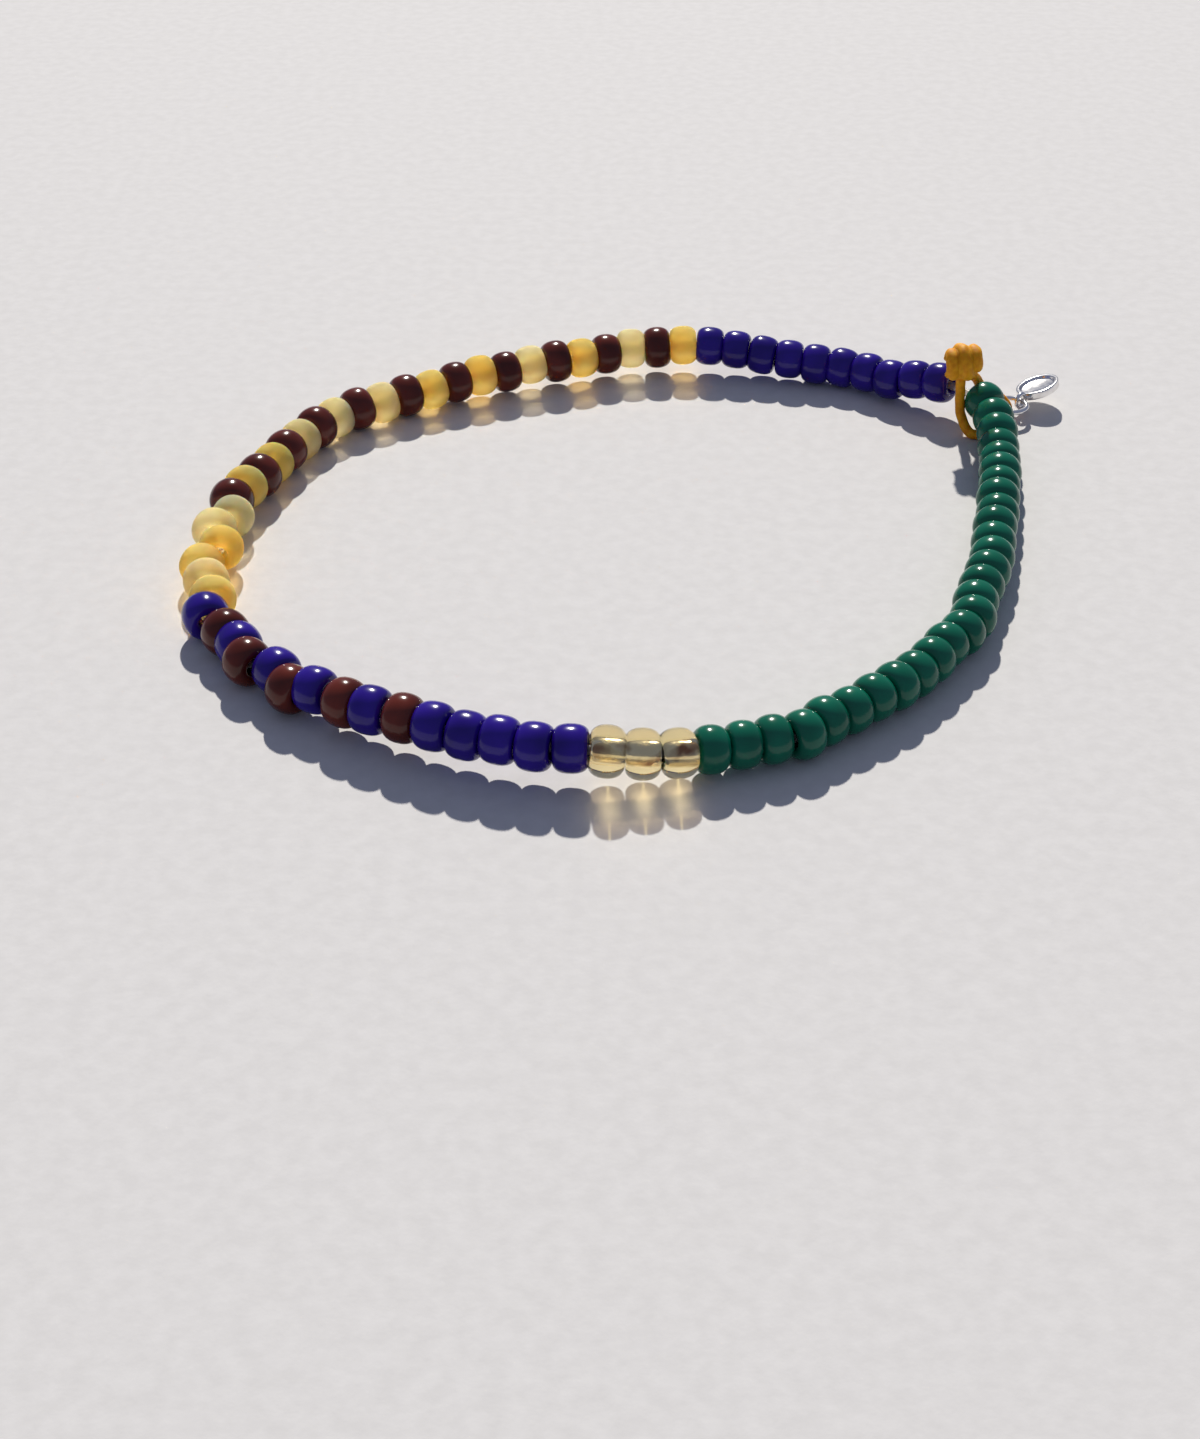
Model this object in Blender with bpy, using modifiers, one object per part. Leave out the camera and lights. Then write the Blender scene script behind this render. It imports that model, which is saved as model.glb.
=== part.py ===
"""A bracelet of small glass beads, closed by a knotted cord that also holds a little silver tag.

Standalone script for Blender 4.5. The scene is in metres with +Z up; the bracelet lies on z = 0 and is
centred on the origin. The clear gold beads are at the front, towards -Y, and the knot is at the back right.
"""

import bisect
import math
import random

import bpy
from mathutils import Matrix, Vector, geometry

MM = 0.001
WELD = 1e-6

# Glass beads: pressed rings with rounded edges
BEAD_RADIUS = 1.45 * MM
BEAD_EDGE_ROUNDING = 0.55 * MM
BORE_RADIUS = 0.55 * MM
BEAD_GAP = 0.16 * MM
BEAD_SIDES = 12
BEAD_TILT = math.radians(1.5)
BEAD_LENGTH = {
    "blue": 1.96 * MM,
    "brown": 1.91 * MM,
    "straw": 1.91 * MM,
    "amber": 1.91 * MM,
    "gold": 1.94 * MM,
    "green": 1.80 * MM,
}

# Order of the beads from the knot, along the back, down the left, along the front and up the right
FROSTED_BETWEEN_BROWN = (
    "amber", "straw", "amber", "straw", "amber", "amber",
    "straw", "straw", "straw", "amber", "amber",
)
FROSTED_AT_LEFT = ("straw", "straw", "amber", "amber", "straw", "amber")
BACK_BLUES = 10
BLUE_BROWN_PAIRS = 5
FRONT_BLUES = 5
FRONT_GOLDS = 3
GREENS = 28

# Elastic thread
THREAD_RADIUS = 0.3 * MM

# Cord that closes the string: a loop round it with a ball knot on top
KNOT_SPACE = 2.3 * MM
KNOT_RADIUS = 1.4 * MM
CORD_RADIUS = 0.35 * MM
CORD_CLEARANCE = 0.1 * MM

# Silver tag on its jump ring
JUMP_RING_RADIUS = 1.2 * MM
JUMP_WIRE_RADIUS = 0.2 * MM
TAG_HALF_LENGTH = 1.8 * MM
TAG_HALF_WIDTH = 1.5 * MM
TAG_THICKNESS = 0.36 * MM
TAG_RIM_HEIGHT = 0.22 * MM
TAG_RIM_WIDTH = 0.32 * MM
TAG_EYE_RADIUS = 0.5 * MM
TAG_EYE_WIRE_RADIUS = 0.17 * MM
TAG_EYE_OVERLAP = 0.15 * MM
TAG_TURN = math.radians(-1)
TAG_DIP = math.radians(-7.5)
TAG_ROLL = math.radians(-14.5)
TAG_SIDES = 24
RING_SIDES = 16
WIRE_SIDES = 6

# Route of the string as it lies, in millimetres: x, y and how far the beads stand clear of the surface.
# It starts in the middle of the knot's space and goes round in the order of the beads. ROUTE_MIDDLE is the
# middle of the whole bracelet with its tag, which comes to the origin.
ROUTE_MIDDLE = (-0.39, 0.0)
STRING_ROUTE = (
    (23.2, 18.4, 1.10),
    (21.7, 19.9, 1.05),
    (18.2, 22.2, 0.30),
    (14.7, 24.6, 0.00),
    (10.5, 25.5, 0.30),
    (6.2, 26.5, 0.60),
    (2.0, 27.0, 0.70),
    (-2.3, 26.5, 0.60),
    (-6.4, 25.0, 0.55),
    (-10.4, 23.6, 0.50),
    (-14.3, 22.1, 0.35),
    (-17.8, 20.2, 0.20),
    (-21.3, 18.0, 0.05),
    (-24.4, 15.6, 0.00),
    (-26.4, 11.9, 0.05),
    (-27.9, 8.1, 0.30),
    (-29.4, 4.2, 0.40),
    (-29.8, 2.4, 0.35),
    (-29.9, 0.6, 0.32),
    (-30.4, -1.3, 0.30),
    (-30.3, -5.2, 0.18),
    (-30.0, -9.2, 0.05),
    (-28.2, -13.1, 0.00),
    (-26.0, -16.4, 0.05),
    (-23.0, -19.3, 0.28),
    (-19.8, -21.7, 0.62),
    (-15.9, -23.7, 0.80),
    (-12.4, -25.4, 0.93),
    (-8.3, -26.6, 0.97),
    (-4.2, -27.0, 0.85),
    (0.0, -26.8, 0.48),
    (3.9, -25.6, 0.22),
    (7.4, -24.6, 0.02),
    (8.9, -23.3, 0.02),
    (12.0, -21.0, 0.10),
    (14.9, -18.4, 0.06),
    (17.3, -15.4, 0.08),
    (19.5, -12.1, 0.03),
    (20.6, -8.4, 0.00),
    (22.0, -4.9, 0.02),
    (22.8, -0.9, 0.15),
    (23.6, 3.0, 0.22),
    (24.4, 6.9, 0.16),
    (24.8, 10.8, 0.15),
    (25.0, 14.8, 0.62),
    (24.7, 16.9, 0.95),
)
ROUTE_STEPS = 10

# Route of the cord's loop, in millimetres from the point under the middle of the knot's space: outwards from
# the bracelet, back along the string towards the blues, and up from the surface
CORD_ROUTE = (
    (-1.72, -0.85, 4.25),
    (-1.45, -0.74, 3.3),
    (-1.35, -0.7, 2.6),
    (-1.36, -0.8, 1.9),
    (-1.42, -1.05, 1.3),
    (-1.5, -1.5, 0.76),
    (-1.6, -1.95, 0.45),
    (-1.55, -2.35, 0.37),
    (-1.15, -2.75, 0.36),
    (-0.4, -3.0, 0.36),
    (0.5, -3.1, 0.36),
    (1.4, -2.95, 0.36),
    (2.15, -2.65, 0.42),
    (2.6, -2.4, 0.78),
    (2.68, -2.15, 1.25),
    (2.5, -1.75, 1.7),
    (2.05, -1.2, 2.05),
    (1.4, -0.78, 2.4),
    (0.95, -0.72, 3.1),
    (0.3, -0.8, 3.8),
    (-0.5, -0.88, 4.5),
)
KNOT_PLACE = (-1.96, -1.04, 6.0)
JUMP_RING_PLACE = (3.16, -2.25, 1.04)
JUMP_RING_LINK = math.radians(-1)

COLOURS = {
    "blue": ((0.025, 0.012, 0.30), 0.08, 0.0),
    "green": ((0.006, 0.12, 0.06), 0.08, 0.0),
    "brown": ((0.055, 0.010, 0.008), 0.08, 0.0),
    "straw": ((0.62, 0.50, 0.20), 0.55, 0.0),
    "amber": ((0.80, 0.48, 0.08), 0.55, 0.0),
    "gold": ((0.62, 0.47, 0.20), 0.05, 0.0),
    "thread": ((0.70, 0.66, 0.58), 0.5, 0.0),
    "cord": ((0.62, 0.30, 0.02), 0.7, 0.0),
    "silver": ((0.85, 0.84, 0.82), 0.15, 1.0),
}


def clear_scene():
    for obj in list(bpy.data.objects):
        bpy.data.objects.remove(obj, do_unlink=True)


def new_collection(name, shown=True):
    collection = bpy.data.collections.new(name)
    collection.hide_render = not shown
    bpy.context.scene.collection.children.link(collection)
    return collection


def material(name):
    made = bpy.data.materials.get(name)
    if made:
        return made
    colour, roughness, metallic = COLOURS[name]
    made = bpy.data.materials.new(name)
    made.use_nodes = True
    shader = made.node_tree.nodes["Principled BSDF"]
    shader.inputs["Base Color"].default_value = (*colour, 1)
    shader.inputs["Roughness"].default_value = roughness
    shader.inputs["Metallic"].default_value = metallic
    made.diffuse_color = (*colour, 1)
    return made


def add_object(name, data, look, collection):
    obj = bpy.data.objects.new(name, data)
    collection.objects.link(obj)
    if look:
        data.materials.append(material(look))
    return obj


def smooth_points(points, closed):
    """Points of a smooth curve through the given ones."""
    count = len(points)
    smooth = []
    for i in range(count if closed else count - 1):
        start, end = points[i], points[(i + 1) % count]
        before = points[i - 1] if closed or i else start
        after = points[(i + 2) % count] if closed or i + 2 < count else end
        start_handle = start + (end - before) / 6
        end_handle = end - (after - start) / 6
        smooth += geometry.interpolate_bezier(start, start_handle, end_handle, end, ROUTE_STEPS + 1)[:-1]
    return smooth if closed else smooth + [points[-1]]


def loop_length(points):
    return sum((point - points[i - 1]).length for i, point in enumerate(points))


class StringPath:
    """The closed route of the string, read by the distance along it."""

    def __init__(self, length):
        middle = Vector((*ROUTE_MIDDLE, 0))
        scale = 1.0
        for _ in range(6):
            chosen = []
            for x, y, lift in STRING_ROUTE:
                on_surface = (Vector((x, y, 0)) - middle) * scale * MM
                chosen.append(on_surface + Vector((0, 0, BEAD_RADIUS + lift * MM)))
            self.points = smooth_points(chosen, closed=True)
            scale *= length / loop_length(self.points)
        self.points.append(self.points[0])
        self.distances = [0.0]
        for i in range(1, len(self.points)):
            self.distances.append(self.distances[-1] + (self.points[i] - self.points[i - 1]).length)

    def point(self, distance):
        distance %= self.distances[-1]
        i = max(1, bisect.bisect_left(self.distances, distance))
        share = (distance - self.distances[i - 1]) / (self.distances[i] - self.distances[i - 1])
        return self.points[i - 1].lerp(self.points[i], share)

    def direction(self, distance, reach):
        return (self.point(distance + reach) - self.point(distance - reach)).normalized()


def bead_order():
    between = [colour for frosted in FROSTED_BETWEEN_BROWN for colour in (frosted, "brown")]
    return (
        ["blue"] * BACK_BLUES
        + between
        + list(FROSTED_AT_LEFT)
        + ["blue", "brown"] * BLUE_BROWN_PAIRS
        + ["blue"] * FRONT_BLUES
        + ["gold"] * FRONT_GOLDS
        + ["green"] * GREENS
    )


def fused_runs():
    """First bead and number of beads of each run of like beads that is one solid."""
    frosted_start = BACK_BLUES + 2 * len(FROSTED_BETWEEN_BROWN)
    green_start = frosted_start + len(FROSTED_AT_LEFT) + 2 * BLUE_BROWN_PAIRS + FRONT_BLUES + FRONT_GOLDS
    return {0: BACK_BLUES, frosted_start: len(FROSTED_AT_LEFT), green_start: GREENS}


def turned_beads(name, lengths):
    """Half section of one bead, or of a row that meets at its necks, for a Screw round Z from z = 0 up."""
    face_radius = BEAD_RADIUS - BEAD_EDGE_ROUNDING
    edge_inset = BEAD_EDGE_ROUNDING * (1 - math.sqrt(0.5))
    total = sum(lengths) + BEAD_GAP * (len(lengths) - 1)
    outside = [(face_radius, total)]
    bore = [(BORE_RADIUS, total)]
    top = total
    for length in reversed(lengths):
        bottom = top - length
        neck = max(0.0, bottom - BEAD_GAP / 2)
        outside += [
            (BEAD_RADIUS - edge_inset, top - edge_inset),
            (BEAD_RADIUS, (top + bottom) / 2),
            (BEAD_RADIUS - edge_inset, bottom + edge_inset),
            (face_radius, neck),
        ]
        bore.append((BORE_RADIUS, neck))
        top = bottom - BEAD_GAP
    section = outside + bore[::-1]
    mesh = bpy.data.meshes.new(name)
    corners = [(radius, 0, height) for radius, height in section]
    sides = [(i, (i + 1) % len(section)) for i in range(len(section))]
    mesh.from_pydata(corners, sides, [])
    return mesh


def add_turning(obj, sides):
    turning = obj.modifiers.new("turned", "SCREW")
    turning.steps = sides
    turning.render_steps = sides
    turning.use_merge_vertices = True
    turning.merge_threshold = WELD
    turning.use_smooth_shade = False


def poly_curve(name, points, closed=False, radius=0.0, resolution=2):
    curve = bpy.data.curves.new(name, "CURVE")
    curve.dimensions = "3D"
    curve.twist_mode = "Z_UP"
    line = curve.splines.new("POLY")
    line.points.add(len(points) - 1)
    for corner, point in zip(line.points, points):
        corner.co = (*point, 1)
    line.use_cyclic_u = closed
    curve.bevel_depth = radius
    curve.bevel_resolution = resolution
    curve.use_fill_caps = radius > 0 and not closed
    return curve


def build_beads(path, order, collection, helpers):
    """Every bead in its place. Like neighbours in a long run are one solid that follows the route."""
    runs = fused_runs()
    chance = random.Random(11)
    start = KNOT_SPACE / 2
    number = 0
    while number < len(order):
        count = runs.get(number, 1)
        lengths = [BEAD_LENGTH[colour] for colour in order[number : number + count]]
        total = sum(lengths) + BEAD_GAP * (count - 1)
        colour = order[number]
        if count > 1:
            name = f"beads_{number + 1:02d}_to_{number + count:02d}_{colour}"
            obj = add_object(name, turned_beads(name, lengths), colour, collection)
            add_turning(obj, BEAD_SIDES)
            stops = max(2, round(total / BEAD_RADIUS) * 2)
            line = [path.point(start + total * i / stops) for i in range(stops + 1)]
            guide = add_object(f"{name}_route", poly_curve(f"{name}_route", line), None, helpers)
            guide.hide_render = True
            bend = obj.modifiers.new("follow_route", "CURVE")
            bend.object = guide
            bend.deform_axis = "POS_Z"
        else:
            name = f"bead_{number + 1:02d}_{colour}"
            obj = add_object(name, turned_beads(name, lengths), colour, collection)
            add_turning(obj, BEAD_SIDES)
            axis = path.direction(start + total / 2, total)
            tilt = Matrix.Rotation(chance.uniform(-BEAD_TILT, BEAD_TILT), 4, "X")
            turned = axis.to_track_quat("Z", "Y").to_matrix().to_4x4() @ tilt
            to_middle = Matrix.Translation((0, 0, -total / 2))
            obj.matrix_world = Matrix.Translation(path.point(start + total / 2)) @ turned @ to_middle
        start += total + BEAD_GAP
        number += count


def build_thread(path, order, collection):
    """One elastic thread through every bore, closed behind the knot."""
    stops = len(order) + 2
    line = [path.point(path.distances[-1] * i / stops) for i in range(stops)]
    add_object(
        "elastic_thread", poly_curve("elastic_thread", line, True, THREAD_RADIUS), "thread", collection
    )


def knot_frame(path):
    """Places at the closure: X outwards from the bracelet, Y back along the string, Z up from z = 0."""
    middle = path.point(0)
    along = path.direction(0, KNOT_SPACE)
    along.z = 0
    along.normalize()
    outward = along.cross(Vector((0, 0, 1)))
    frame = Matrix((outward, along, (0, 0, 1))).transposed().to_4x4()
    return Matrix.Translation((middle.x, middle.y, 0)) @ frame


def build_cord(frame, collection):
    """The cord's loop, whose two ends go into the ball knot."""
    knot = Vector(KNOT_PLACE) * MM
    route = [Vector(point) * MM for point in CORD_ROUTE]
    reach = KNOT_RADIUS + CORD_CLEARANCE
    first = knot + (route[0] - knot).normalized() * reach
    last = knot + (route[-1] - knot).normalized() * reach
    line = smooth_points([first, *route, last], closed=False)[:: ROUTE_STEPS // 2]
    line = [frame @ point for point in line]
    add_object("cord_loop", poly_curve("cord_loop", line, False, CORD_RADIUS), "cord", collection)

    bpy.ops.mesh.primitive_uv_sphere_add(segments=14, ring_count=9, radius=KNOT_RADIUS)
    ball = bpy.context.object
    ball.matrix_world = frame @ Matrix.Translation(knot)
    rename_and_move(ball, "cord_knot", "cord", collection)


def rename_and_move(obj, name, look, collection):
    obj.name = name
    obj.data.name = name
    for old in list(obj.users_collection):
        old.objects.unlink(obj)
    collection.objects.link(obj)
    if look:
        obj.data.materials.append(material(look))


def add_torus(name, radius, wire_radius, look, collection):
    bpy.ops.mesh.primitive_torus_add(
        major_radius=radius,
        minor_radius=wire_radius,
        major_segments=RING_SIDES,
        minor_segments=WIRE_SIDES,
    )
    torus = bpy.context.object
    rename_and_move(torus, name, look, collection)
    return torus


def build_tag(frame, collection, helpers):
    """Jump ring round the cord's loop, and the oval tag whose upright eye hangs in the ring."""
    ring_place = Vector(JUMP_RING_PLACE) * MM
    ring = add_torus("jump_ring", JUMP_RING_RADIUS, JUMP_WIRE_RADIUS, "silver", collection)
    ring.matrix_world = frame @ Matrix.Translation(ring_place)

    outer = TAG_HALF_LENGTH
    inner = outer - TAG_RIM_WIDTH
    top = TAG_THICKNESS + TAG_RIM_HEIGHT
    section = [
        (0, TAG_THICKNESS),
        (inner, TAG_THICKNESS),
        (inner + TAG_RIM_WIDTH / 3, top),
        (outer, top),
        (outer, 0),
        (0, 0),
    ]
    mesh = bpy.data.meshes.new("silver_tag")
    mesh.from_pydata([(x, 0, z) for x, z in section], [(i, i + 1) for i in range(len(section) - 1)], [])
    tag = add_object("silver_tag", mesh, "silver", collection)
    add_turning(tag, TAG_SIDES)

    eye_distance = TAG_HALF_LENGTH + TAG_EYE_RADIUS - TAG_EYE_OVERLAP
    link = Matrix.Rotation(JUMP_RING_LINK, 4, "Z") @ Vector((JUMP_RING_RADIUS, 0, 0))
    hang = ring_place + link
    turn = Matrix.Rotation(TAG_TURN, 4, "Z") @ Matrix.Rotation(TAG_DIP, 4, "Y")
    lean = turn @ Matrix.Rotation(TAG_ROLL, 4, "X")
    to_eye = Matrix.Translation((eye_distance, 0, -TAG_THICKNESS / 2))
    oval = Matrix.Diagonal((1, TAG_HALF_WIDTH / TAG_HALF_LENGTH, 1, 1))
    tag.matrix_world = frame @ Matrix.Translation(hang) @ lean @ to_eye @ oval

    eye = add_torus("silver_tag_eye", TAG_EYE_RADIUS, TAG_EYE_WIRE_RADIUS, None, helpers)
    eye.matrix_world = frame @ Matrix.Translation(hang) @ turn @ Matrix.Rotation(math.pi / 2, 4, "X")
    eye.hide_render = True
    eye.display_type = "WIRE"
    join = tag.modifiers.new("eye", "BOOLEAN")
    join.operation = "UNION"
    join.solver = "EXACT"
    join.object = eye


def main():
    clear_scene()
    bracelet = new_collection("glass_bead_bracelet")
    helpers = new_collection("helpers", shown=False)
    order = bead_order()
    length = KNOT_SPACE + sum(BEAD_LENGTH[colour] for colour in order) + BEAD_GAP * (len(order) - 1)
    path = StringPath(length)
    build_beads(path, order, bracelet, helpers)
    build_thread(path, order, bracelet)
    bpy.context.view_layer.update()
    frame = knot_frame(path)
    build_cord(frame, bracelet)
    build_tag(frame, bracelet, helpers)


main()
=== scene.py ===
"""The looks of a bracelet of small glass beads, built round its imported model.

Metres, +Z up, resting on z = 0. The clear gold-lined beads are at the front, towards -Y, and the knot is at
the back right. The sections follow the bracelet as it is made: thread, beads, cord, knot, jump ring and tag,
then the studio.
"""

import bisect
import math
import random

import bmesh
import bpy
from mathutils import Matrix, Vector, geometry


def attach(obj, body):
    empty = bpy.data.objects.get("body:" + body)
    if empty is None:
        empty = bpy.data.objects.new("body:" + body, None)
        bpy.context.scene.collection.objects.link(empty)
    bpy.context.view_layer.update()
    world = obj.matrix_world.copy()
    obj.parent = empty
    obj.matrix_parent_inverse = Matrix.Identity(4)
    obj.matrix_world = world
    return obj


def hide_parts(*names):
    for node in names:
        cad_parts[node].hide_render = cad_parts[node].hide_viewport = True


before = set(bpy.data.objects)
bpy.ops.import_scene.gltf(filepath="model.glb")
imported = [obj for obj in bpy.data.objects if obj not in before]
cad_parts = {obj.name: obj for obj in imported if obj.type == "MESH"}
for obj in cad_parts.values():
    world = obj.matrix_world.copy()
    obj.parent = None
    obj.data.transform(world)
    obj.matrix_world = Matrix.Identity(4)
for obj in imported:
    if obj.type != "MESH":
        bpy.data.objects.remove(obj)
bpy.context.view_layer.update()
MM = 0.001


# The elastic thread: a clear stretch thread that runs once round inside all the beads and holds them together
# by its own pull. Only at the closure, where the last beads stand apart, can any of it be seen.

# The route of the string, which the thread and the beads share: x, y and how far the beads stand clear of the
# surface, in millimetres, from the middle of the closure and back to it
ROUTE_MIDDLE = (-0.39, 0.0)
STRING_ROUTE = (
    (23.2, 18.4, 1.10),
    (21.7, 19.9, 1.05),
    (18.2, 22.2, 0.30),
    (14.7, 24.6, 0.00),
    (10.5, 25.5, 0.30),
    (6.2, 26.5, 0.60),
    (2.0, 27.0, 0.70),
    (-2.3, 26.5, 0.60),
    (-6.4, 25.0, 0.55),
    (-10.4, 23.6, 0.50),
    (-14.3, 22.1, 0.35),
    (-17.8, 20.2, 0.20),
    (-21.3, 18.0, 0.05),
    (-24.4, 15.6, 0.00),
    (-26.4, 11.9, 0.05),
    (-27.9, 8.1, 0.30),
    (-29.4, 4.2, 0.40),
    (-29.8, 2.4, 0.35),
    (-29.9, 0.6, 0.32),
    (-30.4, -1.3, 0.30),
    (-30.3, -5.2, 0.18),
    (-30.0, -9.2, 0.05),
    (-28.2, -13.1, 0.00),
    (-26.0, -16.4, 0.05),
    (-23.0, -19.3, 0.28),
    (-19.8, -21.7, 0.62),
    (-15.9, -23.7, 0.80),
    (-12.4, -25.4, 0.93),
    (-8.3, -26.6, 0.97),
    (-4.2, -27.0, 0.85),
    (0.0, -26.8, 0.48),
    (3.9, -25.6, 0.22),
    (7.4, -24.6, 0.02),
    (8.9, -23.3, 0.02),
    (12.0, -21.0, 0.10),
    (14.9, -18.4, 0.06),
    (17.3, -15.4, 0.08),
    (19.5, -12.1, 0.03),
    (20.6, -8.4, 0.00),
    (22.0, -4.9, 0.02),
    (22.8, -0.9, 0.15),
    (23.6, 3.0, 0.22),
    (24.4, 6.9, 0.16),
    (24.8, 10.8, 0.15),
    (25.0, 14.8, 0.62),
    (24.7, 16.9, 0.95),
)
ROUTE_STEPS = 10
KNOT_SPACE = 2.3 * MM
BEAD_RADIUS = 1.45 * MM
BEAD_GAP = 0.16 * MM
BEAD_LENGTH = {
    "blue": 1.96 * MM,
    "brown": 1.91 * MM,
    "straw": 1.91 * MM,
    "amber": 1.91 * MM,
    "gold": 1.94 * MM,
    "green": 1.80 * MM,
}
BEAD_ORDER = (
    ["blue"] * 10
    + ["amber", "brown", "straw", "brown"] * 2
    + ["amber", "brown"] * 2
    + ["straw", "brown"] * 3
    + ["amber", "brown"] * 2
    + ["straw", "straw", "amber", "amber", "straw", "amber"]
    + ["blue", "brown"] * 5
    + ["blue"] * 5
    + ["gold"] * 3
    + ["green"] * 28
)
# Beads that lie pushed out of line, by number, with how far in x and y in millimetres
NUDGES = {
    33: (0.45, 0.1),
    34: (-0.1, 0.1),
    35: (0.75, -0.1),
    36: (-0.25, 0.0),
    37: (0.15, 0.0),
    38: (0.6, 0.0),
    39: (-0.3, -0.1),
    40: (0.25, -0.35),
    41: (0.3, 0.2),
    42: (-0.25, -0.1),
    43: (0.35, 0.2),
    44: (-0.2, -0.35),
    45: (-0.2, 0.35),
    47: (-0.2, 0.0),
}
NUDGE_REACH = 2.1 * MM
FITTING_ROUNDS = 6
THREAD_STOPS = 420
TUBE_SIDES = 10
FINE_MERGE = 1e-7
THREAD_RADIUS = 0.3 * MM
THREAD_COLOUR = (0.72, 0.70, 0.66)


def smooth_points(points, closed):
    """Points of a smooth curve through the given ones."""
    count = len(points)
    smooth = []
    for i in range(count if closed else count - 1):
        start, end = points[i], points[(i + 1) % count]
        before = points[i - 1] if closed or i else start
        after = points[(i + 2) % count] if closed or i + 2 < count else end
        start_handle = start + (end - before) / 6
        end_handle = end - (after - start) / 6
        smooth += geometry.interpolate_bezier(start, start_handle, end_handle, end, ROUTE_STEPS + 1)[:-1]
    return smooth if closed else smooth + [points[-1]]


def lengths_along(points):
    """Distance of each point from the first, along the line."""
    distances = [0.0]
    for before, point in zip(points, points[1:]):
        distances.append(distances[-1] + (point - before).length)
    return distances


def string_line(length):
    """The closed line of the string, drawn to the given length."""
    scale = 1.0
    for _ in range(FITTING_ROUNDS):
        chosen = [
            Vector(((x - ROUTE_MIDDLE[0]) * scale, (y - ROUTE_MIDDLE[1]) * scale, lift)) * MM
            for x, y, lift in STRING_ROUTE
        ]
        line = smooth_points(chosen, closed=True)
        line.append(line[0])
        scale *= length / lengths_along(line)[-1]
    return [point + Vector((0, 0, BEAD_RADIUS)) for point in line]


STRING_LENGTH = KNOT_SPACE + sum(BEAD_LENGTH[look] for look in BEAD_ORDER) + BEAD_GAP * (len(BEAD_ORDER) - 1)
STRING_LINE = string_line(STRING_LENGTH)
STRING_DISTANCES = lengths_along(STRING_LINE)


def bead_middles():
    """Distance along the string of the middle of each bead, by its number from 1."""
    middles = {}
    start = KNOT_SPACE / 2
    for number, look in enumerate(BEAD_ORDER, 1):
        middles[number] = start + BEAD_LENGTH[look] / 2
        start += BEAD_LENGTH[look] + BEAD_GAP
    return middles


BEAD_MIDDLES = bead_middles()


def nudge_at(distance):
    """How far the string is pushed out of line here: fully at a nudged bead, less towards its neighbours."""
    push = Vector((0, 0, 0))
    for number, (x, y) in NUDGES.items():
        near = 1 - abs(distance - BEAD_MIDDLES[number]) / NUDGE_REACH
        if near > 0:
            push += Vector((x, y, 0)) * MM * (3 - 2 * near) * near**2
    return push


def string_point(distance):
    """The string's place at this distance from the middle of the closure, nudged beads included."""
    distance %= STRING_DISTANCES[-1]
    i = max(1, bisect.bisect_left(STRING_DISTANCES, distance))
    share = (distance - STRING_DISTANCES[i - 1]) / (STRING_DISTANCES[i] - STRING_DISTANCES[i - 1])
    return STRING_LINE[i - 1].lerp(STRING_LINE[i], share) + nudge_at(distance)


def string_direction(distance, reach):
    """The way the string runs here, taken over the reach on both sides."""
    return (string_point(distance + reach) - string_point(distance - reach)).normalized()


def deselect_all():
    if bpy.context.mode != "OBJECT":
        bpy.ops.object.mode_set(mode="OBJECT")
    for obj in bpy.context.selected_objects:
        obj.select_set(False)


def tube(name, line, radius, closed=False, profile=None, twists=None):
    """A round tube along the line, or one with the given profile, turned as it goes, as a mesh."""
    curve = bpy.data.curves.new(name, "CURVE")
    curve.dimensions = "3D"
    curve.twist_mode = "MINIMUM"
    spline = curve.splines.new("POLY")
    spline.points.add(len(line) - 1)
    for i, (corner, place) in enumerate(zip(spline.points, line)):
        corner.co = (*place, 1)
        corner.tilt = twists[i] if twists else 0.0
    spline.use_cyclic_u = closed
    if profile:
        curve.bevel_mode = "OBJECT"
        curve.bevel_object = profile
    else:
        curve.bevel_depth = radius
        curve.bevel_resolution = TUBE_SIDES // 2 - 2
    curve.use_fill_caps = not closed
    deselect_all()
    made = bpy.data.objects.new(name, curve)
    bpy.context.scene.collection.objects.link(made)
    bpy.context.view_layer.objects.active = made
    made.select_set(True)
    bpy.ops.object.convert(target="MESH")
    made = bpy.context.object
    made.name = made.data.name = name
    return made


def close_up(obj, merge=1e-6):
    """Merges doubles, closes the shell and turns its faces outwards, then shades it smooth."""
    deselect_all()
    bpy.context.view_layer.objects.active = obj
    obj.select_set(True)
    bpy.ops.object.mode_set(mode="EDIT")
    bpy.ops.mesh.select_all(action="SELECT")
    bpy.ops.mesh.remove_doubles(threshold=merge)
    bpy.ops.mesh.normals_make_consistent(inside=False)
    bpy.ops.object.mode_set(mode="OBJECT")
    bpy.ops.object.shade_smooth()


def new_material(name, colour, roughness, **sockets):
    """A node material with the given sockets set. Returns the material, its nodes, links and shader."""
    made = bpy.data.materials.new(name)
    made.use_nodes = True
    made.diffuse_color = (*colour, 1)
    nodes, links = made.node_tree.nodes, made.node_tree.links
    shader = nodes["Principled BSDF"]
    shader.inputs["Base Color"].default_value = (*colour, 1)
    shader.inputs["Roughness"].default_value = roughness
    for socket, value in sockets.items():
        shader.inputs[socket.replace("_", " ")].default_value = value
    return made, nodes, links, shader


def noise_of(nodes, links, scale, detail=2.0):
    """A noise pattern on the piece's own place, in patterns per metre."""
    where = nodes.new("ShaderNodeTexCoord")
    noise = nodes.new("ShaderNodeTexNoise")
    noise.inputs["Scale"].default_value = scale
    noise.inputs["Detail"].default_value = detail
    links.new(where.outputs["Object"], noise.inputs["Vector"])
    return noise


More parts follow.
